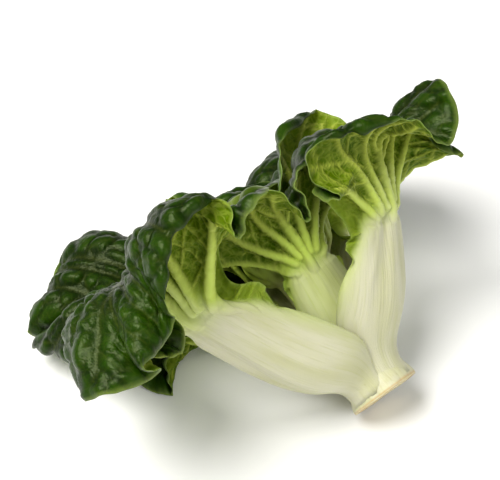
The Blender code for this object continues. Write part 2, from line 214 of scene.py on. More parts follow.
def reach(leaf, s, v):
    """The distance from the midrib to the margin: one side's blade may run further down along the petiole."""
    lp = leaf["lp"]
    ear = keyed([(0, 0), (0.62 * lp, 0), (0.80 * lp, 1), (lp, 0.8), (lp + 0.35 * leaf["lb"], 0)], s)
    return half_width(leaf, s) * (1 + np.where(v > 0, leaf["ear"][1], leaf["ear"][0]) * ear)


def flat(leaf, s, v):
    """Where the grid point (s, v) lies on the leaf pressed flat: across it and along it."""
    drop = 0.34 * leaf["wb"] * smooth((s - leaf["lp"]) / leaf["lb"]) ** 1.2
    return v * reach(leaf, s, v), s - drop * v * v


def embed(leaf, x, y):
    """The leaf's middle surface in space at the flat position (x, y)."""
    s, P, T, N, B = spine(leaf)
    lp, lb = leaf["lp"], leaf["lb"]
    a = plant_axes()[0]
    rel = P - on_axis(0)
    rho = np.linalg.norm(rel - np.outer(rel @ a, a), axis=1)
    nest = (T @ a) / np.maximum(rho + 1.0, 4.0)

    def at(A):
        return np.stack([np.interp(y, s, A[:, k]) for k in range(3)], axis=-1)

    extra = keyed([(0, 0.0), (0.3 * lp, leaf["clasp"]), (0.75 * lp, leaf["clasp"]), (lp + 6, 0.0)], y)
    k0 = np.interp(y, s, nest) * keyed([(0, 1), (lp - 8, 1), (lp + 0.4 * lb, leaf["wrap"]), (lp + lb, leaf["wrap"])], y) + extra
    fold, start, over = (np.where(x < 0, a, b) for a, b in zip(leaf["fold"][0], leaf["fold"][1]))
    fold = np.radians(fold) * smooth((y - lp + 2) / (0.3 * lb)) * np.where(x < 0, 1, -1)
    n = 24
    X, Y = np.zeros_like(x), np.zeros_like(x)
    for i in range(n):
        t = x * (i + 0.5) / n
        angle = k0 * t + fold * smooth((np.abs(t) - start) / over)
        X = X + np.cos(angle) * x / n
        Y = Y + np.sin(angle) * x / n
    return at(P) + X[..., None] * at(B) + Y[..., None] * at(N)


def ruffle(leaf, x, y):
    """Waves that grow towards the margin of the blade."""
    lp, lb, wb = leaf["lp"], leaf["lb"], leaf["wb"]
    rng = np.random.default_rng(leaf["seed"])
    om = np.arctan2(x, y - (lp - 0.10 * lb))
    rad = np.hypot(x / wb, (y - lp) / lb)
    out = np.zeros_like(x)
    for m, amount in ((4, 1.0), (7, 0.7)):
        ph = rng.uniform(0, 2 * math.pi, 2)
        out += amount * np.sin(m * om + ph[0] + 0.7 * np.sin(4.6 * rad + ph[1]))
    return leaf["wave"] * 0.075 * wb * smooth((rad - 0.25) / 0.9) * smooth((y - lp + 8) / 20) * out


def normals(P):
    """Directions square to a grid of points, pointing out of the leaf's inner face."""
    n = np.cross(np.gradient(P, axis=0), np.gradient(P, axis=1))
    return n / np.maximum(np.linalg.norm(n, axis=-1, keepdims=True), 1e-9)


def lay_down(P, room):
    """Turns what would pass below the table along it, a little above it."""
    out = P.copy()
    k = FLOOR_SOFTNESS
    z = P[..., 2] - room
    out[..., 2] = room + np.where(z > 6, z, k * np.logaddexp(0, np.minimum(z, 6) / k))
    return out


def thickness(leaf, s, v):
    """How far the inner and the outer face lie from the middle surface: a petiole is thick in its middle only."""
    lp, lb, tp = leaf["lp"], leaf["lb"], leaf["tp"]
    mid = keyed([(0, 0.62 * tp), (0.12 * lp, 0.9 * tp), (0.3 * lp, tp), (0.7 * lp, 0.72 * tp), (lp, 0.42 * tp), (lp + 0.35 * lb, BLADE), (lp + lb, BLADE)], s)
    x = np.abs(v) * reach(leaf, s, v)
    profile = np.clip(1 - (x / np.maximum(petiole_width(leaf, s), 3.0)) ** 2.2, 0, 1) ** 0.75
    t = BLADE + (mid - BLADE).clip(0) * profile
    t = np.where(s < 0.16 * lp, np.maximum(t, 1.6), t)
    return 0.32 * t, 0.68 * t


def leaf_mesh(leaf, ns, nv):
    """Points and faces of a leaf: an inner and an outer face on one grid, joined round the margin."""
    s, v = np.meshgrid(np.linspace(0, leaf["lp"] + leaf["lb"], ns), np.linspace(-1, 1, nv), indexing="ij")
    x, y = flat(leaf, s, v)
    P = embed(leaf, x, y)
    P = P + normals(P) * ruffle(leaf, x, y)[..., None]
    ti, to = thickness(leaf, s, v)
    n = normals(P)
    low = np.clip(1 - (s - 0.5 * leaf["lp"]) / (0.3 * leaf["lp"]), 0, 1)
    P = np.where((low > 0)[..., None], P, lay_down(P, 0.5 * BLADE))
    n = normals(P)
    inner, outer = P + n * ti[..., None], P - n * to[..., None]
    k = ns * nv
    verts = np.concatenate([inner.reshape(-1, 3), outer.reshape(-1, 3)])
    verts[:, 2] = np.maximum(verts[:, 2], 0.0)
    at = np.arange(k).reshape(ns, nv)
    faces = []
    for i in range(ns - 1):
        for j in range(nv - 1):
            p, q, r, t = at[i, j], at[i + 1, j], at[i + 1, j + 1], at[i, j + 1]
            faces.append((p, q, r, t))
            faces.append((p + k, t + k, r + k, q + k))
    ring = [at[i, 0] for i in range(ns)] + [at[ns - 1, j] for j in range(1, nv)]
    ring += [at[i, nv - 1] for i in range(ns - 2, -1, -1)] + [at[0, j] for j in range(nv - 2, 0, -1)]
    for p, q in zip(ring, ring[1:] + ring[:1]):
        faces.append((q, p, p + k, q + k))
    return verts, faces


# ---------------------------------------------------------------- the stem base
def shoulder(t):
    """How high the neck reaches at this angle: just below the leaf base that stands over it."""
    top = 15.0
    for leaf in LEAVES[:3]:
        d = abs((t - leaf["psi"] + 180) % 360 - 180)
        over = 1 - float(smooth(np.array((d - 58) / 26)))
        top = min(top, leaf["z0"] - 0.45 * leaf["tp"] - 0.9 + (1 - over) * 8)
    return top


def crown_mesh(n):
    """The cut stub, its neck and the core that the leaves grow from."""
    verts = [on_axis(0.0)]
    for k in range(9):
        for i in range(n):
            t = 360 * i / n
            lobes = 1 + 0.035 * math.cos(math.radians(3 * t + 40)) + 0.02 * math.cos(math.radians(5 * t))
            top = shoulder(t)
            z, r = [(0.0, CUT_RADIUS - 0.5), (0.5, CUT_RADIUS), (0.45 * top + 0.3, 0.90 * CUT_RADIUS), (0.92 * top, 0.80 * CUT_RADIUS),
                    (top, 0.70 * CUT_RADIUS), (top + 0.25, 5.4), (17.0, 3.4), (21.4, 2.2), (26.2, 0.9)][k]
            verts.append(on_axis(z) + r * (lobes if k < 5 else 1) * radial(t))
    verts.append(on_axis(26.6))
    verts = np.array(verts)
    verts[:, 2] = np.maximum(verts[:, 2], 0.0)
    faces = [(1 + (i + 1) % n, 1 + i, 0) for i in range(n)]
    for k in range(8):
        for i in range(n):
            p, q = 1 + k * n + i, 1 + k * n + (i + 1) % n
            faces.append((q, q + n, p + n, p))
    last = 1 + 8 * n
    faces += [(last + (i + 1) % n, len(verts) - 1, last + i) for i in range(n)]
    return verts, faces


# ================================================================ growth of the blades
def grid_of(leaf, step):
    S = leaf["lp"] + leaf["lb"]
    ns = int(round(S / step)) + 1
    nv = int(round(2 * leaf["wb"] / step / 2)) * 2 + 1
    return ns, nv


def growth_veins(leaf):
    """The main veins of a leaf pressed flat: for each a line of points and how thick it is there."""
    lp, lb, wp = leaf["lp"], leaf["lb"], leaf["wp"]
    rng = np.random.default_rng(leaf["seed"] + 100)
    top = float(petiole_width(leaf, np.array([lp]))[0])
    k = lb / 60
    veins = []
    along = np.linspace(0, lp + lb, 300)
    wide = half_width(leaf, along)
    drop = 0.34 * leaf["wb"] * smooth((along - lp) / lb) ** 1.2

    def v_at(x, y):
        s = y
        for _ in range(6):
            v = x / np.interp(s, along, wide)
            s = y + np.interp(s, along, drop) * v * v
        return v, s

    def grow(x, y, angle, bend, r0, reach, longest, stop=None):
        """A vein from (x, y): it leaves at this angle from the midrib and turns by bend over its length."""
        pts, rads = [(x, y)], [r0]
        n = 0
        wob = rng.uniform(0, 2 * math.pi)
        while n * 1.5 < longest:
            f = n * 1.5 / longest
            t = math.radians(angle + bend * f + 5 * math.sin(wob + 7 * f))
            x, y = x + 1.5 * math.sin(t), y + 1.5 * math.cos(t)
            v, s = v_at(x, y)
            if abs(v) > reach or s > lp + reach * lb:
                break
            n += 1
            if stop is not None and n > 3:
                d = np.min(np.hypot(stop[:, 0] - x, stop[:, 1] - y))
                if d < 1.8:
                    break
            pts.append((x, y))
            rads.append(r0)
        if len(pts) < 3:
            return None
        f = np.linspace(0, 1, len(pts))
        return np.array(pts), r0 * (1 - f) ** 0.75 + 0.22, n * 1.5

    f = np.linspace(0, 1, 60)
    mid = np.stack([1.2 * np.sin(5 * f + leaf["seed"]) * smooth(f * 1.5), lp - 6 + f * (0.96 * lb + 6)], axis=1)
    veins.append((mid, 2.5 * k * (1 - f) ** 0.8 + 0.28, 0))
    fan = [(0.26, -1, 14, 5, 1.8), (0.50, -3, 29, 2, 1.7), (0.72, -7, 47, -6, 1.5), (0.90, -11, 70, -14, 1.2)]
    for side in (-1, 1):
        for x0, dy, angle, bend, r0 in fan:
            got = grow(side * x0 * top, lp + dy * k + rng.uniform(-1, 1), side * (angle + rng.uniform(-3, 3)), side * bend, r0 * k, 0.95, 1.1 * lb)
            if got:
                veins.append((got[0], got[1], 1))
    main = [v for v in veins]
    for i in range(1, 7):
        side = 1 if i % 2 else -1
        f = 0.16 + 0.12 * i
        y0 = lp + f * lb
        got = grow(float(np.interp(y0, mid[:, 1], mid[:, 0])), y0, side * (40 + rng.uniform(-5, 5)), -side * 14, 0.85 * k, 0.95, 0.7 * lb,
                   np.concatenate([p for p, r, o in main[1:]]))
        if got:
            veins.append((got[0], got[1], 1))
    main = [v for v in veins]
    every = np.concatenate([p for p, r, o in main])
    for p, r, o in main:
        L = len(p)
        if L < 8:
            continue
        number = max(2, int(L * 1.5 / 9))
        for j in range(number):
            f = (j + 0.6 + rng.uniform(-0.2, 0.2)) / number
            i = int(f * (L - 2)) + 1
            if i < 3 or p[i, 1] < lp - 2:
                continue
            heading = math.degrees(math.atan2(p[i, 0] - p[i - 1, 0], p[i, 1] - p[i - 1, 1]))
            for side in (-1, 1):
                others = every[np.hypot(every[:, 0] - p[i, 0], every[:, 1] - p[i, 1]) > 3.0]
                got = grow(p[i, 0], p[i, 1], heading + side * rng.uniform(38, 58), -side * rng.uniform(0, 20), 0.5 * k, 0.97, 16 * k, others)
                if got:
                    veins.append((got[0], got[1], 2))
    return veins


def vein_field(leaf, veins, x, y, orders):
    """Distance to the nearest of these veins, and how thick that vein is there."""
    q = np.stack([x.ravel(), y.ravel()], axis=1)
    best = np.full(len(q), 1e9)
    rad = np.zeros(len(q))
    for p, r, o in veins:
        if o not in orders:
            continue
        low, high = p.min(axis=0) - 9, p.max(axis=0) + 9
        near = np.flatnonzero((q[:, 0] > low[0]) & (q[:, 0] < high[0]) & (q[:, 1] > low[1]) & (q[:, 1] < high[1]))
        if not len(near):
            continue
        a, b = p[:-1], p[1:]
        ab = b - a
        aq = q[near][:, None, :] - a[None]
        t = np.clip((aq * ab).sum(-1) / np.maximum((ab * ab).sum(-1), 1e-9), 0, 1)
        d = np.hypot(aq[..., 0] - t * ab[:, 0], aq[..., 1] - t * ab[:, 1])
        i = d.argmin(axis=1)
        rows = np.arange(len(near))
        dd = d[rows, i]
        rr = r[i] + t[rows, i] * (r[i + 1] - r[i])
        better = dd - rr < best[near] - rad[near]
        best[near] = np.where(better, dd, best[near])
        rad[near] = np.where(better, rr, rad[near])
    return np.minimum(best, 40).reshape(x.shape), rad.reshape(x.shape)


def cells(leaf, x, y, size):
    """Cells of a net over the leaf: distance to the nearest cell wall, and a number for each cell."""
    rng = np.random.default_rng(leaf["seed"] + 500)
    lo, hi = (x.min() - size, y.min() - size), (x.max() + size, y.max() + size)
    gx, gy = np.meshgrid(np.arange(lo[0], hi[0], size), np.arange(lo[1], hi[1], size))
    seeds = np.stack([gx.ravel(), gy.ravel()], axis=1)
    seeds[:, 0] += np.where((np.round((seeds[:, 1] - lo[1]) / size).astype(int) % 2) == 0, size / 2, 0)
    seeds += rng.uniform(-0.36 * size, 0.36 * size, seeds.shape)
    bent = [x + 0.9 * np.sin(0.6 * y + 1.0) + 0.4 * np.sin(1.3 * y + 0.7 * x), y + 0.9 * np.sin(0.65 * x + 2.0) + 0.4 * np.sin(1.1 * x - 0.9 * y)]
    q = np.stack([b.ravel() for b in bent], axis=1)
    n = len(q)
    d1, d2, which = np.empty(n), np.empty(n), np.empty(n, int)
    for i in range(0, n, 20000):
        part = q[i:i + 20000]
        near = seeds[(seeds[:, 1] > part[:, 1].min() - 3 * size) & (seeds[:, 1] < part[:, 1].max() + 3 * size)]
        index = np.flatnonzero((seeds[:, 1] > part[:, 1].min() - 3 * size) & (seeds[:, 1] < part[:, 1].max() + 3 * size))
        d = np.hypot(part[:, None, 0] - near[None, :, 0], part[:, None, 1] - near[None, :, 1])
        two = np.argpartition(d, 1, axis=1)[:, :2]
        a = np.take_along_axis(d, two, 1)
        first = a.argmin(axis=1)
        d1[i:i + 20000] = a.min(axis=1)
        d2[i:i + 20000] = a.max(axis=1)
        which[i:i + 20000] = index[two[np.arange(len(two)), first]]
    value = rng.uniform(0, 1, len(seeds))[which]
    return ((d2 - d1) / 2).reshape(x.shape), value.reshape(x.shape)


class Sheet:
    """A leaf's middle surface as a grid of points that can grow."""

    def __init__(self, leaf, step):
        self.leaf = leaf
        lp, lb, wb = leaf["lp"], leaf["lb"], leaf["wb"]
        ns, nv = grid_of(leaf, step)
        self.s, self.v = np.linspace(0, lp + lb, ns), np.linspace(-1, 1, nv)
        s, v = np.meshgrid(self.s, self.v, indexing="ij")
        self.x, self.y = flat(leaf, s, v)
        P = embed(leaf, self.x, self.y)
        P = P + normals(P) * (0.55 * ruffle(leaf, self.x, self.y))[..., None]
        self.room = np.where(s < 0.8 * lp, 0.0, 0.9)
        P = np.where((s < 0.2 * lp)[..., None], P, lay_down(P, 0.9))
        self.home = P.copy()
        self.P = P.copy()
        self.old = P.copy()
        self.free = np.maximum(smooth((s - 0.72 * lp) / (0.35 * lp)), smooth((np.abs(self.x) - petiole_width(leaf, s)) / 8.0) * smooth((s - 0.5 * lp) / 8))
        rad = np.hypot(self.x / wb, np.maximum(self.y - lp, 0) / lb)
        self.rad = rad
        self.veins = growth_veins(leaf)
        d, r = vein_field(leaf, self.veins, self.x, self.y, (0, 1))
        between = smooth(d / 6.0)
        wing = smooth((np.abs(self.x) - 0.9 * petiole_width(leaf, s)) / 5.0) * smooth((s - 0.55 * lp) / 10)
        blade = np.maximum(smooth((self.y - lp + 6) / 16), wing)
        margin = np.maximum(smooth((rad - 0.35) / 0.75) ** 1.3, 0.7 * wing * smooth((np.abs(v) - 0.5) / 0.5))
        self.grow = blade * (0.9 * margin + 0.35 * between * (0.5 + 0.5 * margin))
        self.roll = blade * (0.6 if leaf["name"] == "outer_leaf_front" else 0.85) * (0.030 * smooth((rad - 0.55) / 0.5) + 0.020 * between)
        rng = np.random.default_rng(leaf["seed"] + 7)
        bump = sum(np.sin(self.x * fx + self.y * fy + p) for fx, fy, p in zip(rng.uniform(-0.5, 0.5, 8), rng.uniform(-0.5, 0.5, 8), rng.uniform(0, 6.3, 8))) / 3
        self.P = self.P + normals(self.P) * ((0.5 * between + 0.4 * bump) * blade)[..., None]
        self.links = [(1, 0), (0, 1), (1, 1), (1, -1)]
        self.rest = [np.linalg.norm(self.other(self.home, di, dj) - self.first(self.home, di, dj), axis=-1) for di, dj in self.links]
        ti, to = thickness(leaf, s, v)
        self.half = np.maximum((ti + to) / 2, 0.5) + 0.8 * blade

    @staticmethod
    def first(A, di, dj):
        return A[:A.shape[0] - di, max(0, -dj):A.shape[1] - max(0, dj)]

    @staticmethod
    def other(A, di, dj):
        return A[di:, max(0, dj):A.shape[1] - max(0, -dj)]

    def relax(self, amount, hold, stiff, rounds=2):
        """A few rounds of pulling every link to the length that it has grown to, and of bending back."""
        P, w = self.P, self.free
        for _ in range(rounds):
            for (di, dj), rest in zip(self.links, self.rest):
                g = 1 + amount * 0.5 * (self.first(self.grow, di, dj) + self.other(self.grow, di, dj))
                step = slice(None)
                for parity in (0, 1):
                    A, B = self.first(P, di, dj), self.other(P, di, dj)
                    wa, wb_ = self.first(w, di, dj), self.other(w, di, dj)
                    pick = (slice(parity, None, 2), slice(None)) if di else (slice(None), slice(parity, None, 2))
                    a, b = A[pick], B[pick]
                    d = b - a
                    L = np.linalg.norm(d, axis=-1)
                    ww = wa[pick] + wb_[pick] + 1e-6
                    c = ((L - rest[pick] * g[pick]) / np.maximum(L, 1e-6) / ww * (0.95 if di * dj == 0 else 0.35))[..., None] * d
                    a += c * wa[pick][..., None]
                    b -= c * wb_[pick][..., None]
            n = normals(P)
            for span, k in ((1, stiff), (2, stiff * 0.8)):
                fix = np.zeros_like(P)
                for axis in (0, 1):
                    if axis == 0:
                        lo, mid, hi = P[:-2 * span], P[span:-span], P[2 * span:]
                        nn, rr = n[span:-span], self.roll[span:-span]
                    else:
                        lo, mid, hi = P[:, :-2 * span], P[:, span:-span], P[:, 2 * span:]
                        nn, rr = n[:, span:-span], self.roll[:, span:-span]
                    h2 = ((hi - lo) ** 2).sum(-1) / 4
                    c = mid - 0.5 * (lo + hi) - (amount * rr * h2 / 2)[..., None] * nn
                    if axis == 0:
                        fix[span:-span] -= 0.5 * k * c
                        fix[:-2 * span] += 0.25 * k * c
                        fix[2 * span:] += 0.25 * k * c
                    else:
                        fix[:, span:-span] -= 0.5 * k * c
                        fix[:, :-2 * span] += 0.25 * k * c
                        fix[:, 2 * span:] += 0.25 * k * c
                P += fix * w[..., None]
        P += (self.home - P) * (hold * w)[..., None]


def contacts(sheets, least=2.3):
    """Pushes points of different leaves, and far points of one leaf, apart."""
    Q = np.concatenate([s.P.reshape(-1, 3) for s in sheets])
    F = np.concatenate([s.free.ravel() for s in sheets])
    H = np.concatenate([s.half.ravel() for s in sheets])
    which = np.concatenate([np.full(s.free.size, i) for i, s in enumerate(sheets)])
    fx = np.concatenate([s.x.ravel() for s in sheets])
    fy = np.concatenate([s.y.ravel() for s in sheets])
    size = 4.2
    cell = np.floor((Q - Q.min(axis=0)) / size).astype(np.int64) + 1
    dim = cell.max(axis=0) + 2
    key = (cell[:, 0] * dim[1] + cell[:, 1]) * dim[2] + cell[:, 2]
    order = np.argsort(key, kind="stable")
    ks = key[order]
    push = np.zeros_like(Q)
    count = np.zeros(len(Q))
    for dx, dy, dz in [(0, 0, 0)] + [(x, y, z) for x in (-1, 0, 1) for y in (-1, 0, 1) for z in (-1, 0, 1) if (x, y, z) > (0, 0, 0)]:
        target = ks + (dx * dim[1] + dy) * dim[2] + dz
        lo = np.searchsorted(ks, target, side="left")
        hi = np.searchsorted(ks, target, side="right")
        if (dx, dy, dz) == (0, 0, 0):
            lo = np.arange(len(ks)) + 1
        n = np.maximum(hi - lo, 0)
        total = int(n.sum())
        if not total:
            continue
        a = np.repeat(np.arange(len(ks)), n)
        b = np.arange(total) - np.repeat(np.cumsum(n) - n, n) + np.repeat(lo, n)
        a, b = order[a], order[b]
        flat_way = np.hypot(fx[a] - fx[b], fy[a] - fy[b])
        keep = (F[a] + F[b] > 0) & ((which[a] != which[b]) | (flat_way > 4.5))
        a, b, flat_way = a[keep], b[keep], flat_way[keep]
        d = Q[a] - Q[b]
        L = np.linalg.norm(d, axis=1)
        want = np.minimum(np.maximum(H[a] + H[b] + 0.7, least), 4.1)
        want = np.where(which[a] == which[b], np.minimum(want, 0.5 * flat_way), want)
        hit = L < want
        a, b, d, L, want = a[hit], b[hit], d[hit], L[hit], want[hit]
        if not len(a):
            continue
        c = ((want - L) / np.maximum(L, 1e-6) / (F[a] + F[b]))[:, None] * d
        for axis in range(3):
            push[:, axis] += np.bincount(a, c[:, axis] * F[a], len(Q)) - np.bincount(b, c[:, axis] * F[b], len(Q))
        count += np.bincount(a, minlength=len(Q)) + np.bincount(b, minlength=len(Q))
    push /= np.maximum(count, 1)[:, None]
    i = 0
    for s in sheets:
        n = s.free.size
        s.P += push[i:i + n].reshape(s.P.shape)
        i += n
    return int(count.sum())


def nearby(A):
    """The grid's values and those of the eight points round each."""
    pad = np.pad(A, 1, mode="edge")
    return [pad[i:i + A.shape[0], j:j + A.shape[1]] for i in range(3) for j in range(3)]


def untwisted(S, n):
    """A face of the leaf, smoothed where it doubles back against the sheet's normals n."""
    m = n[:-1, :-1]
    for _ in range(12):
        face = np.cross(S[1:, 1:] - S[:-1, :-1], S[:-1, 1:] - S[1:, :-1])
        face = face * np.sign((face * m).sum())
        turned = (face * m).sum(-1) < 0.05 * np.linalg.norm(face, axis=-1)
        if not turned.any():
            break
        back = np.zeros(S.shape[:2])
        for i, j in ((0, 0), (0, 1), (1, 0), (1, 1)):
            back[i:i + turned.shape[0], j:j + turned.shape[1]] += turned
        near = np.mean(nearby(np.max(nearby(np.minimum(back, 1.0)), axis=0)), axis=0)[..., None]
        Q = np.pad(S, ((1, 1), (1, 1), (0, 0)), mode="reflect", reflect_type="odd")
        S = S + 0.8 * near * ((Q[2:, 1:-1] + Q[:-2, 1:-1] + Q[1:-1, 2:] + Q[1:-1, :-2]) / 4 - S)
    return S


def clearances(sheets, most=9.0):
    """How far each point's inner and outer face can stand out before they meet another leaf, or the table."""
    verts, faces, n0 = [], [], 0
    for s in sheets:
        ns, nv = s.P.shape[:2]
        at = np.arange(ns * nv).reshape(ns, nv) + n0
        verts.append(s.P.reshape(-1, 3))
        faces.append(np.stack([at[:-1, :-1].ravel(), at[1:, :-1].ravel(), at[1:, 1:].ravel(), at[:-1, 1:].ravel()], 1))
        n0 += ns * nv
    tree = BVHTree.FromPolygons(np.concatenate(verts).tolist(), np.concatenate(faces).tolist())
    for s in sheets:
        n = normals(s.P)
        s.clear = []
        for sign in (1, -1):
            start, way = (s.P + sign * 0.4 * n).reshape(-1, 3).tolist(), (sign * n).reshape(-1, 3).tolist()
            d = np.array([min(most, (tree.ray_cast(a, b, most)[3] or most - 0.4) + 0.4) for a, b in zip(start, way)]).reshape(s.s.size, s.v.size)
            table = np.where(sign * n[..., 2] < -0.1, s.P[..., 2] / np.maximum(-sign * n[..., 2], 0.1), most)
            d = np.minimum(d, table)
            s.clear.append(np.mean(nearby(np.min(nearby(d), axis=0)), axis=0))


def grow_leaves(step=2.0):
    turns = TURNS
    sheets = [Sheet(leaf, step) for leaf in LEAVES]
    for turn in range(turns):
        amount = min(1.0, (turn + 1) / (0.7 * turns))
        for s in sheets:
            before = s.P.copy()
            s.P += 0.55 * (s.P - s.old) * s.free[..., None]
            s.old = before
            s.P[..., 2] -= 0.01 * s.free
            s.relax(amount, 0.006, 0.16)
        contacts(sheets)
        for s in sheets:
            s.P[..., 2] = np.where(s.free > 0, np.maximum(s.P[..., 2], 0.75), s.P[..., 2])
            far = s.P - s.old
            L = np.linalg.norm(far, axis=-1, keepdims=True)
            s.P = s.old + far * np.minimum(1, 1.2 / np.maximum(L, 1e-9))
    for s in sheets:
        for _ in range(2):
            Q = np.pad(s.P, ((1, 1), (1, 1), (0, 0)), mode="reflect", reflect_type="odd")
            s.P = s.P + 0.35 * s.free[..., None] * ((Q[2:, 1:-1] + Q[:-2, 1:-1] + Q[1:-1, 2:] + Q[1:-1, :-2]) / 4 - s.P)
        s.P[..., 2] = np.where(s.free > 0, np.maximum(s.P[..., 2], 0.75), s.P[..., 2])
    clearances(sheets)
    return sheets


# ================================================================ fine surface
def cubic(A, t, axis):
    """Values between the grid's rows or columns, along a smooth curve through them."""
    A = np.moveaxis(A, axis, 0)
    n = A.shape[0]
    i = np.clip(np.floor(t).astype(int), 0, n - 2)
    f = (t - i).reshape((-1,) + (1,) * (A.ndim - 1))
    p0, p1, p2, p3 = A[np.maximum(i - 1, 0)], A[i], A[i + 1], A[np.minimum(i + 2, n - 1)]
    out = 0.5 * (2 * p1 + (p2 - p0) * f + (2 * p0 - 5 * p1 + 4 * p2 - p3) * f**2 + (3 * p1 - p0 - 3 * p2 + p3) * f**3)
    return np.moveaxis(out, 0, axis)


def spread(weight, n):
    """n positions from 0 to 1, closer together where the weight is larger."""
    c = np.concatenate([[0], np.cumsum((weight[1:] + weight[:-1]) / 2)])
    return np.interp(np.linspace(0, c[-1], n), c, np.linspace(0, 1, len(weight)))


def rooted(leaf, inner, outer, s1, v1):
    """The base of an outer leaf, led down the neck: it grew out of the stub and its back runs on as the neck's side."""
    a, u, w = plant_axes()
    end = int(np.searchsorted(s1, 13.0))
    phi = np.arctan2((outer[end] - on_axis(0)) @ w, (outer[end] - on_axis(0)) @ u)
    round_it = np.cos(phi)[:, None] * u + np.sin(phi)[:, None] * w
    lift = {"outer_leaf_front": 0.55, "outer_leaf_back": 0.3, "outer_leaf_under": 0.1}[leaf["name"]]
    t = (s1[:end] / s1[end])[:, None, None]
    out = []
    for face, z, r in ((inner, 4.5, 9.6), (outer, 2.0, 0.925 * CUT_RADIUS)):
        r = r + (lift * (1 - v1**6) - 0.2 * v1**6 if face is outer else 0 * v1)
        A = on_axis(0) + z * a + r[:, None] * round_it
        B = face[end]
        along = (face[end + 2] - face[end]) / (s1[end + 2] - s1[end])
        far = np.linalg.norm(B - A, axis=1, keepdims=True)
        m0 = (1.5 * a - 0.35 * round_it) * far
        m1 = along / np.linalg.norm(along, axis=1, keepdims=True) * far * 1.1
        new = (2 * t**3 - 3 * t**2 + 1) * A + (t**3 - 2 * t**2 + t) * m0 + (3 * t**2 - 2 * t**3) * B + (t**3 - t**2) * m1
        face = face.copy()
        face[:end] = new
        out.append(face)
    return out


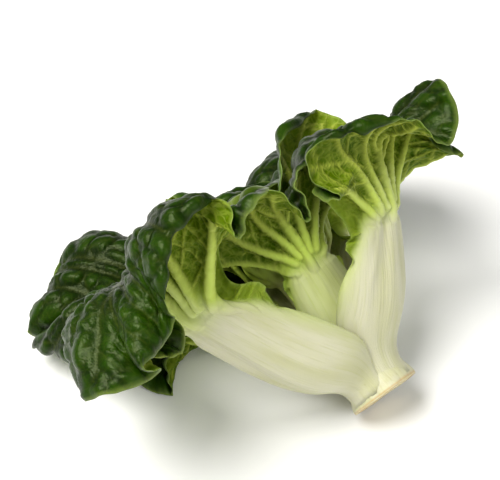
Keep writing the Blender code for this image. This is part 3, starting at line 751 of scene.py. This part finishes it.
def fine_leaf(sheet, fine=0.6, edge=0.42):
    leaf = sheet.leaf
    lp, lb, wb, tp = leaf["lp"], leaf["lb"], leaf["wb"], leaf["tp"]
    S = lp + lb
    f = np.linspace(0, 1, 200)
    weight = np.where(f * S < 0.78 * lp, 1 / 1.5, 1 / fine)
    ns = int(0.78 * lp / 1.5 + (S - 0.78 * lp) / fine)
    s1 = spread(weight, ns) * S
    nv = int(2 * wb / fine)
    v1 = np.linspace(-1, 1, nv)
    P = cubic(cubic(sheet.P, s1 / S * (len(sheet.s) - 1), 0), (v1 + 1) / 2 * (len(sheet.v) - 1), 1)
    s, v = np.meshgrid(s1, v1, indexing="ij")
    x, y = flat(leaf, s, v)
    n = normals(P)
    soft = smooth
    d1, r1 = vein_field(leaf, sheet.veins, x, y, (0, 1))
    d2, r2 = vein_field(leaf, sheet.veins, x, y, (2,))
    wall, value = cells(leaf, x, y, 5.2 * (lb / 60) ** 0.5)
    blade = smooth((y - lp + 7) / 14)
    wing = smooth((np.abs(x) - 0.92 * petiole_width(leaf, s)) / 3.0) * smooth((s - 0.54 * lp) / 6)
    sheetness = np.maximum(blade, wing)
    margin = (1 - np.abs(v)) * reach(leaf, s, v)
    margin = np.minimum(margin, (S - s) * 0.9)
    # pillows between the veins, towards the inner face
    big = 1 - (1 - np.clip((d1 - r1) / 5.0, 0, 1)) ** 2
    dany = np.minimum(np.maximum(d1 - 0.6 * r1, 0), wall)
    small = 0.7 * (1 - (1 - np.clip(dany / 1.7, 0, 1)) ** 2) + 0.3 * smooth(dany / 1.5)
    pocket = 1.8 * np.exp(-(((y - lp - 3) / 11) ** 2))
    puff = sheetness * ((1.5 + pocket) * big + (0.7 + 1.0 * value) * small * (0.5 + 0.5 * big) - 0.25 * soft(1.1 - d2 / 0.5))
    puff = puff * smooth(margin / 2.2 + 0.15)
    # the margin's own small crinkles
    rng = np.random.default_rng(leaf["seed"] + 700)
    around = 0.55 * (wb + lb) * np.arctan2(x, y - lp - 0.3 * lb)
    crimp = sum(a * np.sin(2 * math.pi * around / wide + 0.25 * margin + p) for a, wide, p in zip((0.5, 0.6, 0.6), (5.3, 8.1, 12.7), rng.uniform(0, 6.3, 3)))
    puff = puff + 0.8 * crimp * smooth((8 - margin) / 8) * blade * smooth((y - lp) / 8)
    room_in, room_out = (cubic(cubic(c, s1 / S * (len(sheet.s) - 1), 0), (v1 + 1) / 2 * (len(sheet.v) - 1), 1) for c in sheet.clear)
    up, down = np.clip(0.6 * (room_in - 1.2), 0.15, 9), np.clip(0.6 * (room_out - 1.6), 0.15, 9)
    puff = puff - 0.5 * sheetness
    puff = np.where(puff > 0, up * np.tanh(puff / up), down * np.tanh(puff / down))
    # no more than the surface can take before it doubles back
    for _ in range(5):
        back = (normals(P + n * puff[..., None]) * n).sum(-1) < 0.3
        if not back.any():
            break
        puff = puff * np.mean(nearby(np.where(np.max(nearby(np.max(nearby(back * 1.0), axis=0)), axis=0) > 0, 0.45, 1.0)), axis=0)
    P = P + n * puff[..., None]
    n = normals(P)
    # thickness: the petiole's body, the ribs standing out of the outer face, thin blade elsewhere
    ti, to = thickness(leaf, s, v)
    thin = edge * (1 - 0.45 * smooth(1 - margin / 1.6))
    body = np.clip((ti + to - 1.0) / max(tp * 0.42 - 1.0, 0.5), 0, 1)
    total = np.where(sheetness > 0, thin + (ti + to - 1.0).clip(0) * (1 - sheetness), ti + to)
    total = total * np.sqrt(np.clip(1 - (1 - np.clip((1 - np.abs(v)) * reach(leaf, s, v) / np.maximum(0.55 * total, 0.3), 0, 1)) ** 2, 0.12, 1))
    t_in, t_out = 0.32 * total, 0.68 * total
    slim = np.clip((room_out - 0.9) / np.maximum(1.5 * r1, 0.3), 0.25, 1)
    rib = np.sqrt(np.clip(1 - (d1 / np.maximum(r1, 0.05)) ** 2, 0, 1)) * r1 * slim
    rib2 = np.sqrt(np.clip(1 - (d2 / np.maximum(r2 * 0.9, 0.05)) ** 2, 0, 1)) * r2
    t_out = t_out + smooth((y - lp + 12) / 12) * np.maximum(1.3 * rib, 0.8 * rib2)
    t_in = t_in + 0.18 * smooth((y - lp + 12) / 12) * rib
    w = petiole_width(leaf, s)
    flank = np.clip(1 - (x / w) ** 2, 0, 1)
    rng = np.random.default_rng(leaf["seed"] + 900)
    ph = rng.uniform(0, 2 * math.pi, 3)
    ridges = 0.34 * np.cos(7.5 * x / w + 0.5 * np.sin(ph[0] + s / 22)) + 0.16 * np.cos(15 * x / w + ph[1] + 0.4 * np.sin(s / 15)) + 0.07 * np.cos(34 * x / w + ph[2])
    t_out = t_out + (tp / 8) * ridges * flank * smooth(s / (0.35 * lp)) * (1 - sheetness)
    for where, depth, broad in ((-0.48, 0.8, 0.13), (0.62, 0.4, 0.12)):
        t_out = t_out - (tp / 8) * depth * np.exp(-(((x / w - where - 0.12 * np.sin(s / 30 + where)) / broad) ** 2)) * smooth((s / lp - 0.22) / 0.35) * (1 - sheetness)
    inner, outer = untwisted(P + n * t_in[..., None], n), untwisted(P - n * t_out[..., None], n)
    if leaf["name"].startswith("outer"):
        inner, outer = rooted(leaf, inner, outer, s1, v1)
    k = ns * nv
    verts = np.concatenate([inner.reshape(-1, 3), outer.reshape(-1, 3)])
    verts[:, 2] = np.maximum(verts[:, 2], 0.0)
    at = np.arange(k).reshape(ns, nv)
    a, b, c, d = at[:-1, :-1].ravel(), at[1:, :-1].ravel(), at[1:, 1:].ravel(), at[:-1, 1:].ravel()
    ring = np.concatenate([at[:, 0], at[ns - 1, 1:], at[:-1, nv - 1][::-1], at[0, 1:-1][::-1]])
    nxt = np.roll(ring, -1)
    faces = np.concatenate([np.stack([a, b, c, d], 1), np.stack([a + k, d + k, c + k, b + k], 1), np.stack([nxt, ring, ring + k, nxt + k], 1)])
    vein = np.maximum(soft(1.25 - d1 / np.maximum(r1 + 0.15, 0.3)), 0.75 * soft(1.2 - d2 / 0.42))
    groove = np.maximum(soft(1.2 - d1 / np.maximum(0.55 * r1 + 0.1, 0.25)), 0.6 * soft(1.2 - d2 / 0.34))
    net = soft(1 - wall / 0.5) * 0.4
    white = 1 - np.maximum(blade, wing)
    ribwhite = soft(1.15 - d1 / np.maximum(r1 + 0.1, 0.25)) * (1 - smooth((y - lp - 2) / (0.45 * lb)))
    edge_of_petiole = np.clip((petiole_width(leaf, s) - np.abs(x)) / (0.35 * petiole_width(leaf, s)), 0, 1)
    tint = np.clip(0.8 * smooth((y - 0.80 * lp) / (0.24 * lp)) + 0.55 * (1 - edge_of_petiole) ** 2 * smooth(s / (0.5 * lp)) + (0.3 if leaf["name"] == "middle_leaf_top" else 0.0), 0, 1)
    fields = {
        "white": (white, np.maximum(white, ribwhite)),
        "vein": (0.8 * groove, np.maximum(vein, 0.7 * net)),
        # puff also steers the finish: painted shade in the creases and painted light on the blister tops
        "puff": (np.clip(small * (0.4 + 0.6 * big), 0, 1),) * 2,
        "value": (value,) * 2,
        "rim": (soft(1 - margin / 0.9) * sheetness,) * 2,
        "side": (np.ones_like(x), np.zeros_like(x)),
        "deep": (smooth((y - lp + 3) / (0.26 * lb)),) * 2,
        "tint": (tint, tint),
    }
    fields = {name: np.concatenate([p.ravel(), q.ravel()]).astype(np.float32) for name, (p, q) in fields.items()}
    uv = np.stack([np.concatenate([x.ravel()] * 2), np.concatenate([y.ravel()] * 2)], 1).astype(np.float32)
    return verts, faces, fields, uv


# ================================================================ the stem base
def stem_mesh(n=216):
    """The cut stub: a cut face with its ring of bundles, sides with the scars of trimmed leaves, and the core."""
    rng = np.random.default_rng(5)
    ph = rng.uniform(0, 2 * math.pi, 12)
    t = np.arange(n) * 360.0 / n
    rad = np.radians(t)
    lobes = 1 + 0.035 * np.cos(3 * rad + math.radians(40)) + 0.02 * np.cos(5 * rad)
    top = np.array([shoulder(x) for x in t])
    rows, tags = [], []

    def row(z, r, face, along):
        rows.append(np.outer(z, plant_axes()[0]) + np.array([0.0, 0.0, AXIS_HEIGHT]) + r[:, None] * np.array([radial(x) for x in t]))
        tags.append(np.stack([np.full(n, face), along], axis=1))

    one = np.ones(n)
    for f in np.linspace(0.04, 1, 26):
        r = f * (CUT_RADIUS - 0.25) * (1 + (lobes - 1) * f)
        ring = np.exp(-((f - 0.74) / 0.05) ** 2) * (0.5 + 0.5 * np.cos(22 * rad + ph[0] + 2 * np.sin(3 * rad)))
        z = 0.25 * (1 - f**2) + 0.22 * ring - 0.10 * np.exp(-((f - 0.92) / 0.03) ** 2) + 0.10 * np.sin(5 * rad + 9 * f + ph[1]) * f
        row(0.15 + z * one, r, 1.0, f * one)
    ridges = sum(a * np.sin(k * rad + p) for a, k, p in ((0.30, 9, ph[2]), (0.22, 14, ph[3]), (0.14, 23, ph[4]), (0.08, 41, ph[5])))
    for i, f in enumerate(np.linspace(0, 1, 30)):
        z = 0.55 + f * (top + 0.4 - 0.55)
        r = CUT_RADIUS * keyed([(0, 1.0), (0.18, 0.975), (0.5, 0.90), (0.8, 0.865), (1, 0.80)], np.array(f))
        r = r * (1 + (lobes - 1) * (1 - 0.4 * f)) + 0.35 * ridges * (1 - 0.5 * f)
        r = r - 0.25 * (1 - min(1, i / 2))
        row(z, r, 0.0, f * one)
    for z, r in ((1.6, 8.9), (2.6, 8.4), (4.2, 7.4)):
        row(top + z, r * one, 0.0, one)
    for z, r in ((20.5, 4.0), (23.5, 2.4), (26.2, 0.9)):
        row(z * one, r * one, 0.0, one)
    k = len(rows)
    verts = np.concatenate([on_axis(0.30)[None]] + rows + [on_axis(26.6)[None]])
    tag = np.concatenate([[[1.0, 0.0]]] + tags + [[[0.0, 1.0]]])
    verts[:, 2] = np.maximum(verts[:, 2], 0.0)
    i = np.arange(n)
    j = (i + 1) % n
    faces = [np.stack([1 + j, 1 + i, 0 * i, 0 * i], 1)]
    for q in range(k - 1):
        a, b = 1 + q * n + i, 1 + q * n + j
        faces.append(np.stack([b, b + n, a + n, a], 1))
    last = 1 + (k - 1) * n
    end = np.full(n, len(verts) - 1)
    faces.append(np.stack([last + j, end, last + i, last + i], 1))
    return verts, np.concatenate(faces), {"cut": tag[:, 0].astype(np.float32), "along": tag[:, 1].astype(np.float32)}


# ================================================================ finish
def linear(*rgb):
    return tuple((c / 255 / 12.92 if c / 255 <= 0.04045 else ((c / 255 + 0.055) / 1.055) ** 2.4) for c in rgb) + (1.0,)


class Nodes:
    """Short ways to write a material."""

    def __init__(self, name):
        self.m = bpy.data.materials.new(name)
        self.m.use_nodes = True
        self.t = self.m.node_tree
        self.bsdf = self.t.nodes["Principled BSDF"]

    def put(self, socket, value):
        if isinstance(value, bpy.types.NodeSocket):
            self.t.links.new(value, socket)
        else:
            socket.default_value = value

    def attribute(self, name, kind="Fac"):
        n = self.t.nodes.new("ShaderNodeAttribute")
        n.attribute_type = "GEOMETRY"
        n.attribute_name = name
        return n.outputs[kind]

    def math(self, op, a, b=0.5, c=0.5, clamp=False):
        n = self.t.nodes.new("ShaderNodeMath")
        n.operation, n.use_clamp = op, clamp
        for s, v in zip(n.inputs, (a, b, c)):
            self.put(s, v)
        return n.outputs[0]

    def scaled(self, vector, x, y, z=1.0):
        n = self.t.nodes.new("ShaderNodeVectorMath")
        n.operation = "MULTIPLY"
        self.put(n.inputs[0], vector)
        n.inputs[1].default_value = (x, y, z)
        return n.outputs[0]

    def plus(self, a, b):
        n = self.t.nodes.new("ShaderNodeVectorMath")
        n.operation = "ADD"
        self.put(n.inputs[0], a)
        self.put(n.inputs[1], b)
        return n.outputs[0]

    def noise(self, vector, scale, detail=2.0, rough=0.5, color=False):
        n = self.t.nodes.new("ShaderNodeTexNoise")
        self.put(n.inputs["Vector"], vector)
        n.inputs["Scale"].default_value = scale
        n.inputs["Detail"].default_value = detail
        n.inputs["Roughness"].default_value = rough
        return n.outputs["Color" if color else "Fac"]

    def voronoi(self, vector, scale, feature="F1", out="Distance"):
        n = self.t.nodes.new("ShaderNodeTexVoronoi")
        n.feature = feature
        self.put(n.inputs["Vector"], vector)
        n.inputs["Scale"].default_value = scale
        return n.outputs[out]

    def ramp(self, fac, *stops, to=(0, 1)):
        """Maps fac from (stops[0], stops[1]) to to, smoothly."""
        n = self.t.nodes.new("ShaderNodeMapRange")
        n.interpolation_type = "SMOOTHSTEP"
        self.put(n.inputs["Value"], fac)
        n.inputs["From Min"].default_value, n.inputs["From Max"].default_value = stops
        n.inputs["To Min"].default_value, n.inputs["To Max"].default_value = to
        return n.outputs["Result"]

    def mix(self, fac, a, b, mode="MIX"):
        n = self.t.nodes.new("ShaderNodeMix")
        n.data_type, n.blend_type = "RGBA", mode
        n.clamp_factor = True
        self.put(n.inputs[0], fac)
        self.put(n.inputs[6], a)
        self.put(n.inputs[7], b)
        return n.outputs[2]

    def bump(self, height, distance, strength=1.0, normal=None):
        n = self.t.nodes.new("ShaderNodeBump")
        n.inputs["Strength"].default_value = strength
        n.inputs["Distance"].default_value = distance
        self.put(n.inputs["Height"], height)
        if normal is not None:
            self.put(n.inputs["Normal"], normal)
        return n.outputs[0]


def leaf_material(name, dark, mid, under, pale, flesh):
    """dark, mid: the inner face of the blade in its creases and on a blister; the creases are darker as painted shade
    and the blister tops lighter as painted light, and both colours also give cells and patches their random tone.
    under: the outer face.  pale: veins.
    """
    k = Nodes(name)
    at = k.attribute("flat", "Vector")
    white, vein, puff, value = (k.attribute(x) for x in ("white", "vein", "puff", "value"))
    rim, side, deep = k.attribute("rim"), k.attribute("side"), k.attribute("deep")
    wide = k.noise(at, 0.035, 2.0)
    fine = k.noise(at, 0.32, 3.0, 0.6)
    grain = k.noise(at, 2.2, 2.0, 0.6)
    net = k.voronoi(k.plus(at, k.scaled(k.noise(at, 0.5, 1.0, 0.5, True), 0.9, 0.9, 0.0)), 0.62, "DISTANCE_TO_EDGE")
    lines = k.ramp(net, 0.02, 0.16, to=(1, 0))
    # the two faces of the blade
    # painted shade and painted light: the inner face darker in the creases between blisters and lighter on the blister
    # tops
    top = k.mix(k.ramp(puff, 0.05, 0.8), linear(*dark), linear(*mid))
    top = k.mix(k.math("MULTIPLY", value, 0.35), top, linear(*dark))
    top = k.mix(k.ramp(wide, 0.45, 0.7, to=(0, 0.4)), top, linear(*[c * 1.25 for c in mid]))
    low = k.mix(k.ramp(wide, 0.38, 0.66), linear(*under), linear(*[c * f for c, f in zip(under, (0.72, 0.82, 0.72))]))
    low = k.mix(k.ramp(fine, 0.4, 0.75, to=(0, 0.35)), low, linear(*[c * f for c, f in zip(under, (1.22, 1.15, 1.3))]))
    blade = k.mix(side, low, top)
    blade = k.mix(k.math("MULTIPLY", lines, k.ramp(side, 0, 1, to=(0.16, 0.012))), blade, linear(*pale))
    blade = k.mix(k.math("MULTIPLY", k.ramp(deep, 0.0, 1.0, to=(0.6, 0)), 1.0), blade, linear(150, 172, 52))
    blade = k.mix(k.math("MULTIPLY", vein, k.ramp(side, 0, 1, to=(0.85, 0.0))), blade, linear(*pale))
    blade = k.mix(k.math("MULTIPLY", vein, k.ramp(side, 0, 1, to=(0.0, 0.13))), blade, linear(*[0.66 * c for c in pale]))
    blade = k.mix(k.math("MULTIPLY", rim, 0.45), blade, linear(138, 160, 84))
    # the petiole
    streak = k.noise(k.scaled(at, 1.0, 0.035), 1.3, 3.0, 0.6)
    broad = k.noise(k.scaled(at, 1.0, 0.18), 0.16, 2.0, 0.5)
    flesh = [linear(*[c * f for c, f in zip(flesh, part)]) for part in ((1, 1, 1), (0.945, 0.95, 0.88), (0.91, 0.93, 0.79), (0.93, 1.03, 0.56))]
    skin = k.mix(k.ramp(broad, 0.35, 0.68), flesh[0], flesh[1])
    skin = k.mix(k.ramp(streak, 0.48, 0.75, to=(0, 0.55)), skin, flesh[2])
    skin = k.mix(k.attribute("tint"), skin, flesh[3])
    speck = k.voronoi(k.scaled(at, 1.0, 0.6), 0.22)
    skin = k.mix(k.math("MULTIPLY", k.ramp(speck, 0.05, 0.12, to=(1, 0)), k.ramp(fine, 0.55, 0.7, to=(0, 0.5))), skin, linear(150, 140, 92))
    k.put(k.bsdf.inputs["Base Color"], k.mix(white, blade, skin))
    gloss = k.mix(side, (0.5,) * 3 + (1,), (0.33,) * 3 + (1,))
    gloss = k.mix(white, gloss, (0.36,) * 3 + (1,))
    k.put(k.bsdf.inputs["Roughness"], k.math("ADD", gloss, k.ramp(grain, 0.2, 0.8, to=(-0.05, 0.08))))
    relief = k.math("ADD", k.math("MULTIPLY", lines, k.math("MULTIPLY", k.math("SUBTRACT", 1.0, white), k.ramp(side, 0, 1, to=(0.5, -0.12)))),
                    k.math("MULTIPLY", white, k.ramp(streak, 0.35, 0.75, to=(0.0, 0.4))))
    relief = k.math("ADD", relief, k.math("MULTIPLY", grain, 0.25))
    relief = k.math("ADD", relief, k.math("MULTIPLY", k.math("SUBTRACT", 1.0, white), k.math("MULTIPLY", fine, 1.6)))
    k.put(k.bsdf.inputs["Normal"], k.bump(relief, 0.00035, 0.8))
    k.bsdf.inputs["Subsurface Weight"].default_value = 0.22
    k.bsdf.inputs["Subsurface Radius"].default_value = (0.9, 1.0, 0.35)
    k.bsdf.inputs["Subsurface Scale"].default_value = 0.002
    k.bsdf.inputs["Specular IOR Level"].default_value = 0.16
    k.bsdf.inputs["Specular Tint"].default_value = (0.78, 0.92, 0.5, 1)
    return k.m


def stem_material():
    k = Nodes("stem_base_flesh")
    g = k.t.nodes.new("ShaderNodeTexCoord").outputs["Object"]
    at = k.scaled(g, 1000, 1000, 1000)
    cut, along = k.attribute("cut"), k.attribute("along")
    fibres = k.noise(k.scaled(at, 0.25, 1.0, 0.6), 1.1, 3.0, 0.6)
    blotch = k.noise(at, 0.16, 3.0, 0.6)
    flesh = k.mix(k.ramp(blotch, 0.35, 0.7), linear(197, 195, 164), linear(192, 192, 148))
    flesh = k.mix(k.ramp(fibres, 0.5, 0.72, to=(0, 0.4)), flesh, linear(172, 166, 112))
    flesh = k.mix(k.ramp(along, 0.0, 0.12, to=(0.75, 0)), flesh, linear(190, 158, 106))
    face = k.mix(k.ramp(along, 0.60, 0.80), linear(222, 214, 172), linear(205, 190, 138))
    face = k.mix(k.ramp(k.voronoi(at, 0.55), 0.1, 0.5, to=(0.5, 0)), face, linear(228, 224, 190))
    face = k.mix(k.ramp(along, 0.86, 0.97), face, linear(176, 134, 82))
    face = k.mix(k.ramp(blotch, 0.5, 0.7, to=(0, 0.5)), face, linear(186, 150, 100))
    k.put(k.bsdf.inputs["Base Color"], k.mix(cut, flesh, face))
    k.put(k.bsdf.inputs["Roughness"], k.ramp(fibres, 0.2, 0.8, to=(0.38, 0.6)))
    k.put(k.bsdf.inputs["Normal"], k.bump(k.math("ADD", fibres, k.math("MULTIPLY", blotch, 0.5)), 0.0004, 0.6))
    k.bsdf.inputs["Subsurface Weight"].default_value = 0.25
    k.bsdf.inputs["Subsurface Radius"].default_value = (1.0, 0.8, 0.4)
    k.bsdf.inputs["Subsurface Scale"].default_value = 0.002
    return k.m


# ================================================================ objects
def add(name, verts, faces, fields, mat, body="root"):
    mesh = bpy.data.meshes.new(name)
    tri = faces[:, 2] == faces[:, 3]
    sizes = np.where(tri, 3, 4)
    loops = faces.ravel()[~(np.arange(faces.size) % 4 == 3) | ~np.repeat(tri, 4)] if tri.any() else faces.ravel()
    mesh.vertices.add(len(verts))
    mesh.vertices.foreach_set("co", (verts / 1000).astype(np.float32).ravel())
    mesh.loops.add(len(loops))
    mesh.loops.foreach_set("vertex_index", loops.astype(np.int32))
    mesh.polygons.add(len(faces))
    mesh.polygons.foreach_set("loop_start", np.concatenate([[0], np.cumsum(sizes)[:-1]]).astype(np.int32))
    mesh.update(calc_edges=True)
    mesh.shade_smooth()
    for key, value in fields.items():
        if value.ndim == 2:
            mesh.attributes.new(key, "FLOAT_VECTOR", "POINT").data.foreach_set("vector", value.astype(np.float32).ravel())
        else:
            mesh.attributes.new(key, "FLOAT", "POINT").data.foreach_set("value", value.astype(np.float32))
    mesh.materials.append(mat)
    mesh.validate()
    obj = bpy.data.objects.new(name, mesh)
    bpy.context.scene.collection.objects.link(obj)
    return obj


def build():
    crown, _ = crown_mesh(CROWN_SIDES)
    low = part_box("stem_base")[0]
    shift = np.array(low) * 1000 - crown.min(axis=0)
    sheets = grow_leaves()
    verts, faces, fields = stem_mesh()
    obj = add("stem", verts + shift, faces, fields, stem_material())
    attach(obj, "root")
    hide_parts("stem_base")
    finish = {
        # the second and third colours of each finish are the inner face in its creases, darkened as painted shade, and
        # on its blister tops, lightened as painted light
        "outer": leaf_material("outer_leaf", (10, 25, 1), (27, 51, 1), (76, 100, 0), (168, 178, 72), (199, 197, 170)),
        # painted light: the middle leaves' petiole flesh is lighter than the outer leaves' to brighten petioles that
        # lie in shade
        "middle": leaf_material("middle_leaf", (10, 25, 1), (27, 52, 1), (80, 106, 0), (172, 183, 78), (222, 222, 182)),
        "inner": leaf_material("inner_leaf", (15, 36, 1), (34, 63, 2), (92, 118, 0), (182, 192, 84), (214, 216, 160)),
        "heart": leaf_material("heart_leaf", (40, 72, 6), (70, 104, 12), (112, 138, 14), (188, 198, 100), (214, 216, 150)),
    }
    total = len(faces) * 2
    for sheet in sheets:
        name = sheet.leaf["name"]
        kind = name.split("_")[0]
        fine = {"outer": 0.55, "middle": 0.58, "inner": 0.62, "heart": 0.6}[kind]
        verts, faces, fields, uv = fine_leaf(sheet, fine)
        total += len(faces) * 2
        fields["flat"] = np.concatenate([uv, np.full((len(uv), 1), sheet.leaf["seed"] * 7.0)], axis=1)
        obj = add(name.replace("_leaf_", "_blade_"), verts + shift, faces, fields, finish[kind])
        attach(obj, "root")
        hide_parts(name)
    print("triangles:", total)


def studio():
    low, high = CAD_BOX
    centre = (low + high) / 2
    to_camera = Vector((-0.480, 0.385, 0.788)).normalized()
    right = Vector((-0.625, -0.780, 0)).normalized()
    up = right.cross(to_camera) * -1
    cam = bpy.data.cameras.new("camera")
    cam.lens, cam.sensor_width = 132, 36
    camera = bpy.data.objects.new("camera", cam)
    bpy.context.scene.collection.objects.link(camera)
    aim = centre + right * AIM[0] + up * AIM[1]
    camera.location = aim + to_camera * DISTANCE
    camera.rotation_mode = "QUATERNION"
    camera.rotation_quaternion = (-to_camera).to_track_quat("-Z", "Y")
    bpy.context.scene.camera = camera

    mesh = bpy.data.meshes.new("table")
    mesh.from_pydata([(-3, -3, -0.0004), (3, -3, -0.0004), (3, 3, -0.0004), (-3, 3, -0.0004)], [], [(0, 1, 2, 3)])
    floor = bpy.data.objects.new("table", mesh)
    m = bpy.data.materials.new("pale_table")
    m.use_nodes = True
    m.node_tree.nodes["Principled BSDF"].inputs["Base Color"].default_value = (0.93, 0.93, 0.925, 1)
    m.node_tree.nodes["Principled BSDF"].inputs["Roughness"].default_value = 0.6
    mesh.materials.append(m)
    bpy.context.scene.collection.objects.link(floor)

    for name, offset, size, power, color in LIGHTS:
        light = bpy.data.lights.new(name, "AREA")
        light.shape, light.size, light.energy, light.color = "DISK", size, power, color
        obj = bpy.data.objects.new(name, light)
        where = centre + right * offset[0] + up * offset[1] + to_camera * offset[2]
        obj.location = where
        obj.rotation_mode = "QUATERNION"
        obj.rotation_quaternion = (centre - where).to_track_quat("-Z", "Y")
        bpy.context.scene.collection.objects.link(obj)

    world = bpy.data.worlds.new("studio")
    world.use_nodes = True
    world.node_tree.nodes["Background"].inputs["Color"].default_value = (1.0, 0.995, 0.96, 1)
    world.node_tree.nodes["Background"].inputs["Strength"].default_value = WORLD
    bpy.context.scene.world = world
    bpy.context.scene.view_settings.view_transform = "Standard"
    bpy.context.scene.view_settings.look = LOOK
    bpy.context.scene.view_settings.exposure = EXPOSURE


# ================================================================ the scene
AIM = (-0.002, 0.004)
DISTANCE = 0.66
WORLD = 0.27
EXPOSURE = 0.0
LOOK = "None"
LIGHTS = [
    ("key", (-0.44, 0.50, 0.84), 0.7, 18.5, (1.0, 0.985, 0.95)),
    ("fill", (0.60, -0.20, 0.85), 0.9, 4.5, (0.98, 0.99, 1.0)),
]
build()
studio()
